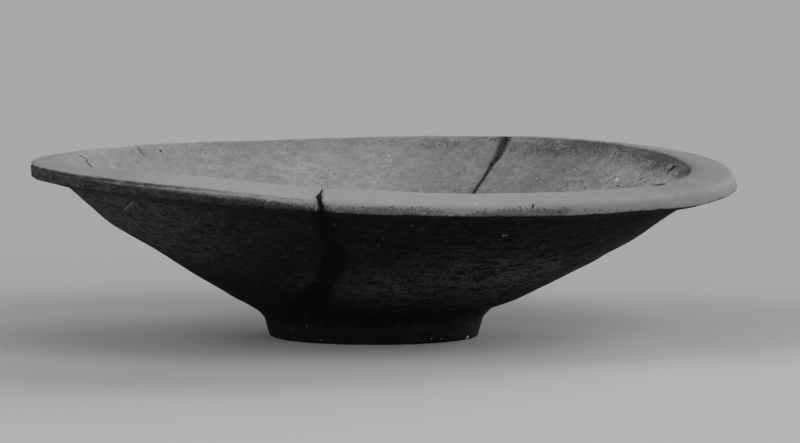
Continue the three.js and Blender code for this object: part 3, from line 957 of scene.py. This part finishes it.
def foot_join_grids(shape, section, breaks):
    """Closed grids of the glue round the left of the foot: two faces and two skins between the radii of
    the crack, a little sunk, from the back break round to the front one."""
    low = shape.foot_radius + shape.foot_break_gap
    inner, outer = low + JOIN_GAP, low + shape.foot_crack - JOIN_GAP
    start = np.array([section.way_at(low, "outside")])
    first = breaks["back"].side(section, start, 1)[0]
    last = breaks["front"].side(section, start, -1)[0]
    bearing = np.linspace(first, last, FOOT_JOIN_STEPS + 1)
    sink = 0.15 * MM

    def ring(radius, face):
        """Row of skin at a radius, sunk."""
        row = skin(shape, section, bearing, np.full_like(bearing, section.way_at(radius, face)))
        row["point"] = row["point"] + (0.0, 0.0, sink if face == "outside" else -sink)
        return row

    rows = [ring(inner, "outside"), ring(outer, "outside"), ring(outer, "inside"), ring(inner, "inside")]
    steps = (1, BREAK_STEPS, 1, BREAK_STEPS)
    sides = [across(rows[k], rows[(k + 1) % 4], steps[k]) for k in range(4)]
    caps = []
    for end in (0, -1):
        left = picked(sides[3], slice(None, None, -1), end)
        right = picked(sides[1], slice(None), end)
        caps.append(across(left, right, 1))
    return sides + caps


# Finishes

class Socket:
    """A value in a shader: arithmetic on it adds Math nodes."""

    def __init__(self, shader, socket):
        self.shader = shader
        self.socket = socket

    def out(self, name):
        """Another output of the node that this value comes from."""
        return Socket(self.shader, self.socket.node.outputs[name])

    def math(self, operation, first, second):
        """A Math node on two values."""
        return self.shader.node("ShaderNodeMath", {"operation": operation}, {0: first, 1: second})

    def __add__(self, other):
        return self.math("ADD", self, other)

    def __radd__(self, other):
        return self.math("ADD", other, self)

    def __sub__(self, other):
        return self.math("SUBTRACT", self, other)

    def __rsub__(self, other):
        return self.math("SUBTRACT", other, self)

    def __mul__(self, other):
        return self.math("MULTIPLY", self, other)

    def __rmul__(self, other):
        return self.math("MULTIPLY", other, self)

    def __lt__(self, other):
        return self.math("LESS_THAN", self, other)

    def over(self, low, high):
        """Rises smoothly from 0 at low to 1 at high."""
        settings = {"interpolation_type": "SMOOTHSTEP"}
        return self.shader.node("ShaderNodeMapRange", settings, {0: self, 1: low, 2: high})


class Finish:
    """A material under way: its one method for nodes, and short ways to the common ones."""

    def __init__(self, name):
        self.material = bpy.data.materials.new(name)
        self.material.use_nodes = True
        self.tree = self.material.node_tree
        self.tree.nodes.clear()

    def node(self, kind, settings=None, sockets=None, output=0):
        """Adds a node, sets it up, then gives its sockets their values or links."""
        node = self.tree.nodes.new(kind)
        for name, value in (settings or {}).items():
            setattr(node, name, value)
        for name, value in (sockets or {}).items():
            if isinstance(value, Socket):
                self.tree.links.new(value.socket, node.inputs[name])
            else:
                node.inputs[name].default_value = value
        return Socket(self, node.outputs[output]) if node.outputs else node

    def place(self):
        """Place on the object."""
        return self.node("ShaderNodeTexCoord", output="Object")

    def noise(self, vector, size, detail=2.0, roughness=0.5):
        """Cloudy noise about 0, with clouds of a size in the vector's own units."""
        sockets = {"Vector": vector, "Scale": 1 / size, "Detail": detail, "Roughness": roughness}
        return self.node("ShaderNodeTexNoise", None, sockets) - 0.5

    def stretched(self, vector, scale):
        """Vector with each part times its own number."""
        return self.node("ShaderNodeVectorMath", {"operation": "MULTIPLY"}, {0: vector, 1: scale})

    def specks(self, vector, spacing, share, size):
        """Scattered dots: a share of the cells hold one, as large as the cell's own draw makes it."""
        cell = self.node("ShaderNodeTexVoronoi", None, {"Vector": vector, "Scale": 1 / spacing})
        draw = self.node("ShaderNodeSeparateColor", None, {0: cell.out("Color")})
        return (draw.out("Red") < share) * (size / spacing * draw.out("Blue") - cell).over(0.0, 0.1)

    def crumbled(self, vector, size, shift):
        """Places moved about by noise, so that what is drawn on them has ragged edges."""
        noise = self.node("ShaderNodeTexNoise", None, {"Vector": vector, "Scale": 1 / size}, "Color")
        settings = {"operation": "MULTIPLY_ADD"}
        moved = self.node("ShaderNodeVectorMath", settings, {0: noise, 1: (shift,) * 3, 2: vector})
        return self.node("ShaderNodeVectorMath", {"operation": "SUBTRACT"}, {0: moved, 1: (shift / 2,) * 3})

    def oval(self, vector, middle, turn, half):
        """1 inside an oval with its own middle, turn and half sizes, falling to 0 at its rim."""
        sockets = {"Vector": vector, "Location": middle, "Rotation": turn, "Scale": half}
        inside = self.node("ShaderNodeMapping", {"vector_type": "TEXTURE"}, sockets)
        away = self.node("ShaderNodeVectorMath", {"operation": "LENGTH"}, {0: inside}, "Value")
        return 1 - away.over(0.65, 1.05)

    def dimmed(self, tint, share):
        """Colour times a number."""
        return self.node("ShaderNodeVectorMath", {"operation": "SCALE"}, {0: tint, "Scale": share})

    def values(self, name):
        """The three values of a vector that the mesh carries."""
        vector = self.node("ShaderNodeAttribute", {"attribute_name": name}, output="Vector")
        parts = self.node("ShaderNodeSeparateXYZ", None, {0: vector})
        return parts.out("X"), parts.out("Y"), parts.out("Z")

    def mix(self, share, first, second):
        """Colour between two colours."""
        first, second = (c if isinstance(c, Socket) else (*c, 1.0) for c in (first, second))
        return self.node("ShaderNodeMix", {"data_type": "RGBA"}, {0: share, 6: first, 7: second}, 2)

    def bump(self, height, strength, distance):
        """Normal of a rough surface."""
        sockets = {"Height": height, "Strength": strength, "Distance": distance}
        return self.node("ShaderNodeBump", None, sockets)

    def done(self, base, roughness, normal, specular):
        """Ends the material in its shader."""
        sockets = {"Base Color": base, "Roughness": roughness, "Normal": normal}
        shader = self.node("ShaderNodeBsdfPrincipled", None, {**sockets, "Specular IOR Level": specular})
        self.node("ShaderNodeOutputMaterial", None, {"Surface": shader})
        return self.material


def stain_places(shape):
    """Middle, turn, half sizes and tone of each stain. Its axes lie round the bowl and along the section,
    turned by the slant, and outwards."""
    section = Section(shape)
    nearby = 0.5 * MM
    for degrees, face, place, around, along, slant, tone in STAINS:
        way = way_to(section, face, place)
        bearing = np.radians(degrees)
        turn = nearby / (place * MM if face != "lip" else shape.rim_radius)
        bearings = bearing + np.array((0, turn, 0))
        ways = way + np.array((0, 0, nearby))
        middle, right, up = map(Vector, skin(shape, section, bearings, ways)["point"])
        right = (right - middle).normalized()
        up = (up - middle).normalized()
        axes = Matrix((right, up, right.cross(up))).transposed() @ Matrix.Rotation(np.radians(slant), 3, "Z")
        yield middle, axes.to_euler(), (around / 2 * MM, along / 2 * MM, 2 * MM), tone


def stained(made, place, tint, scene):
    """Colour with the stains on it, dark and pale ones apart; one dark one is a painted shadow and one is
    painted shade in a chip.
    """
    ragged = made.crumbled(place, 0.7 * MM, 0.35 * MM)
    dark = pale = 0.0
    for middle, turn, half, tone in stain_places(scene.bowl_shape):
        blot = abs(tone) * made.oval(ragged, middle, turn, half)
        if tone < 0:
            dark = blot + dark
        else:
            pale = blot + pale
    tint = made.dimmed(tint, 1 - 0.9 * dark.over(0.0, 1.0))
    return made.mix(pale.over(0.0, 1.0), tint, scene.bowl_looks.grit_light)


def clay_finish(scene):
    """Gritty pale clay, blackened outside up to the lip, with dirt and painted shade along the lip and under
    the crest.
    """
    looks = scene.bowl_looks
    made = Finish("fired_clay_skin")
    place = made.place()
    coat_depth, rubbed, broken = made.values("coat")
    dirt, rim, fade_and_painted_light = made.values("tone")
    shade, mottled, loose = made.values("clay")
    wheel = made.node("ShaderNodeAttribute", {"attribute_name": "wheel"}, output="Vector")

    # Bare clay with grit in it
    clouds = made.noise(place, 26 * MM, 3.0, 0.55)
    blotch = made.noise(wheel, 2.8, 3.0, 0.6)
    grain = made.noise(wheel, 0.75, 2.0, 0.7)
    fine = mottled * (1 - 0.7 * rim)
    # The rim is lighter: painted light on its upward face, as well as its smoother skin
    body = 0.5 + 0.5 * clouds + fine * (blotch + grain) + 0.12 * rim
    clay = made.mix(body, looks.deep_clay, looks.pale_clay)
    ragged = made.crumbled(place, 0.8 * MM, 0.5 * MM)
    pale_grit = fine * made.specks(ragged, 1.9 * MM, 0.12, 0.8 * MM)
    dark_grit = fine * made.specks(ragged, 1.6 * MM, 0.12, 0.7 * MM)
    clay = made.mix(0.38 * pale_grit, clay, looks.grit_light)
    clay = made.mix(0.22 * dark_grit, clay, looks.grit_dark)

    # Dirt, as a film and as crumbs where it is thick; the film is also painted shade along the lip, in its
    # groove and under the crest
    streak = made.noise(made.stretched(wheel, (0.115, 0.115, 0.4)), 0.9, 2.0, 0.55)
    speckle = made.noise(place, 0.9 * MM, 3.0, 0.75)
    clump = made.noise(place, 6 * MM, 2.0, 0.6)
    patchy = made.noise(place, 17 * MM, 2.0, 0.6)
    dirt_and_shade_cover = (11 * speckle + 4 * streak + 4 * clump + 5 * patchy + 5.0 * dirt - 3.5).over(-0.8, 1.2)
    clay = made.mix((0.5 + 0.2 * dirt) * dirt_and_shade_cover, made.dimmed(clay, shade * (1 - 0.3 * dirt)), looks.dirt)
    crumbs = made.specks(ragged, 1.0 * MM, (dirt - 0.36) * (1.2 + 4 * patchy + 3 * clump), 0.6 * MM)
    clay = made.mix(0.8 * crumbs, clay, looks.dirt)

    # Black coat, rubbed where it is faded, paler where light is painted on it on the left and along the
    # right-hand edge of the wall, and darker where shade is painted at the foot
    scuff = made.noise(wheel, 2.6, 4.0, 0.75)
    rough = made.noise(wheel, 1.0, 2.0, 0.7)
    uneven = mottled * (0.26 + 1.9 * fade_and_painted_light) * (1.4 * scuff + (1 - loose) * streak + 1.05 * rough)
    bare = 0.068 + 0.62 * fade_and_painted_light + uneven + 0.4 * rubbed
    coat = made.mix(bare, looks.coat_black, looks.coat_worn)
    flecks = made.specks(ragged, 1.7 * MM, 0.14, 0.45 * MM)
    coat = made.mix(0.3 * flecks, coat, looks.pale_clay)

    # Upper edge of the coat, crisp or loose, and what lies on both
    edge = coat_depth + (1.5 + 2 * loose) * speckle + (1 + 2.6 * loose) * streak + 0.6 * clump - 1.1 * rubbed
    spread = 0.35 + 1.3 * loose
    covered = (edge + spread).over(0.0, 2 * spread)
    tint = stained(made, place, made.mix(covered, clay, coat), scene)
    tint = made.mix(broken, tint, looks.broken_clay)

    height = 0.5 * grain + 0.8 * blotch + 0.6 * (pale_grit - dark_grit)
    normal = made.bump(height, 0.3, 0.35 * MM)
    return made.done(tint, 0.86 - 0.1 * rim + 0.1 * blotch, normal, 0.04)


def fill_finish(scene):
    """Dull black filling with dust in places."""
    looks = scene.bowl_looks
    made = Finish("dark_fill_skin")
    place = made.place()
    dust, _, _ = made.values("tone")
    crust = made.noise(place, 2.4 * MM, 4.0, 0.65)
    crumbs = made.noise(place, 0.7 * MM, 2.0, 0.6)
    dusty = (2.2 * crust + 1.8 * crumbs + dust + 0.06).over(0.0, 0.5)
    base = made.mix(dusty, looks.fill_dark, looks.fill_light)
    normal = made.bump(crust + 0.5 * crumbs, 0.5, 0.5 * MM)
    return made.done(base, 0.88 + 0.15 * crumbs, normal, 0.04)


def glue_finish(scene):
    """Brittle old glue, darker where dirt has settled."""
    looks = scene.bowl_looks
    made = Finish("glue_skin")
    dirt = made.noise(made.place(), 1.4 * MM, 3.0, 0.6)
    base = made.mix(dirt.over(-0.15, 0.2), looks.glue, looks.grit_dark)
    return made.done(base, 0.72 + 0.25 * dirt, made.bump(dirt, 0.3, 0.2 * MM), 0.3)


def floor_finish(tone):
    """Matt pale floor, a little darker behind the bowl: painted shade for the light falling off."""
    made = Finish("pale_floor")
    place = made.place()
    depth = made.node("ShaderNodeSeparateXYZ", None, {0: place}, "Y")
    fibre = made.noise(place, 1.1 * MM)
    behind = tuple(FLOOR_PAINTED_FALLOFF * part for part in tone)
    base = made.mix(depth.over(-90 * MM, 260 * MM), tone, behind)
    return made.done(base, 0.95, made.bump(fibre, 0.1, 0.1 * MM), 0.1)


FINISHES = {"fired_clay": clay_finish, "dark_fill": fill_finish, "glue": glue_finish}


def finish_of(slot):
    """The material of a slot, made once."""
    return bpy.data.materials.get(slot + "_skin") or FINISHES[slot](bpy.context.scene)


# Operators

class BOWL_OT_stage(bpy.types.Operator):
    """Set the floor, the lamps and the camera"""

    bl_idname = "bowl.stage"
    bl_label = "Stage"

    def execute(self, context):
        stage = context.scene.bowl_stage
        self.add_floor(context, stage)
        self.add_light(context, stage)
        self.add_camera(context, stage)
        context.scene.view_settings.view_transform = "Standard"
        return {"FINISHED"}

    def add_floor(self, context, stage):
        """A level square under the foot."""
        reach = stage.floor_reach
        side = np.array((-reach, reach))
        corner = np.stack((*np.meshgrid(side, side), np.zeros((2, 2))), axis=-1)
        mesh = bpy.data.meshes.new("floor")
        mesh.from_pydata(corner.reshape(-1, 3), [], quads(2, 2, 0))
        mesh.materials.append(floor_finish(tuple(stage.floor_tone)))
        floor = bpy.data.objects.new("floor", mesh)
        context.scene.collection.objects.link(floor)

    def add_light(self, context, stage):
        """An even sky, and broad far lamps whose strength is their share of the light times pi."""
        world = bpy.data.worlds.new("even_sky")
        world.use_nodes = True
        sky = world.node_tree.nodes["Background"]
        sky.inputs["Color"].default_value = (1.0, 1.0, 1.0, 1.0)
        sky.inputs["Strength"].default_value = stage.sky_light
        context.scene.world = world
        for name, bearing, height in LAMPS:
            turn, rise = np.radians((bearing, height))
            toward = Vector((np.cos(rise) * np.cos(turn), np.cos(rise) * np.sin(turn), np.sin(rise)))
            data = bpy.data.lights.new(name, "SUN")
            data.angle = stage.softness
            data.energy = getattr(stage, name) * np.pi
            lamp = bpy.data.objects.new(name, data)
            lamp.location = toward
            lamp.rotation_euler = toward.to_track_quat("Z", "Y").to_euler()
            context.scene.collection.objects.link(lamp)

    def add_camera(self, context, stage):
        """A long lens, level with the rim, whose length is the sensor times distance over field."""
        data = bpy.data.cameras.new("camera")
        data.lens = data.sensor_width * stage.eye_distance / stage.eye_field
        data.clip_end = 10 * stage.eye_distance
        eye = bpy.data.objects.new("camera", data)
        back = Vector((0.0, -np.cos(stage.eye_height), np.sin(stage.eye_height)))
        eye.location = Vector((stage.eye_aim_right, 0.0, stage.eye_aim_up)) + back * stage.eye_distance
        eye.rotation_euler = back.to_track_quat("Z", "Y").to_euler()
        context.scene.collection.objects.link(eye)
        context.scene.camera = eye


class BOWL_OT_foot_and_right_wall(bpy.types.Operator):
    """Skin the largest sherd: the foot, the floor and the right-hand wall"""

    bl_idname = "bowl.foot_and_right_wall"
    bl_label = "Foot and right wall"

    def execute(self, context):
        make_piece("foot_and_right_wall", foot_and_right_grids(*bowl_of(context.scene)))
        return {"FINISHED"}


class BOWL_OT_left_sherds(bpy.types.Operator):
    """Skin the three sherds of the left-hand wall"""

    bl_idname = "bowl.left_sherds"
    bl_label = "Left sherds"

    def execute(self, context):
        shape, section, breaks = bowl_of(context.scene)
        for node, first, last, seed in LEFT_SHERDS:
            make_piece(node, sherd_grids(shape, section, breaks[first], breaks[last], seed))
        return {"FINISHED"}


class BOWL_OT_fills(bpy.types.Operator):
    """Fill the wide breaks at the front and the back"""

    bl_idname = "bowl.fills"
    bl_label = "Dark fills"

    def execute(self, context):
        make_fills(context.scene, WIDE_FILLS, 100)
        return {"FINISHED"}


class BOWL_OT_thin_joins(bpy.types.Operator):
    """Run glue along the thin breaks and round the left of the foot"""

    bl_idname = "bowl.thin_joins"
    bl_label = "Thin joins"

    def execute(self, context):
        make_fills(context.scene, THIN_FILLS, 110)
        make_piece("foot_join", foot_join_grids(*bowl_of(context.scene)))
        return {"FINISHED"}


class BOWL_PT_sidebar(bpy.types.Panel):
    """Sidebar that lists the steps of the bowl"""

    bl_idname = "BOWL_PT_sidebar"
    bl_label = "Mended Bowl"
    bl_space_type = "VIEW_3D"
    bl_region_type = "UI"
    bl_category = "Bowl"

    def draw(self, context):
        for step in STEPS:
            self.layout.operator(step.bl_idname)


SETTINGS = {"bowl_shape": BowlShape, "bowl_looks": BowlLooks, "bowl_stage": BowlStage}
STEPS = (
    BOWL_OT_stage,
    BOWL_OT_foot_and_right_wall,
    BOWL_OT_left_sherds,
    BOWL_OT_fills,
    BOWL_OT_thin_joins,
)


def register():
    """Add the settings, the steps and the sidebar."""
    for kind in (*SETTINGS.values(), *STEPS, BOWL_PT_sidebar):
        bpy.utils.register_class(kind)
    for name, kind in SETTINGS.items():
        setattr(bpy.types.Scene, name, bpy.props.PointerProperty(type=kind))


def unregister():
    """Take them out again."""
    for name in SETTINGS:
        delattr(bpy.types.Scene, name)
    for kind in (BOWL_PT_sidebar, *reversed(STEPS), *SETTINGS.values()):
        bpy.utils.unregister_class(kind)


def main():
    """Make the bowl and its stage."""
    register()
    bpy.ops.bowl.stage()
    bpy.ops.bowl.foot_and_right_wall()
    bpy.ops.bowl.left_sherds()
    bpy.ops.bowl.fills()
    bpy.ops.bowl.thin_joins()


if __name__ == "__main__":
    main()
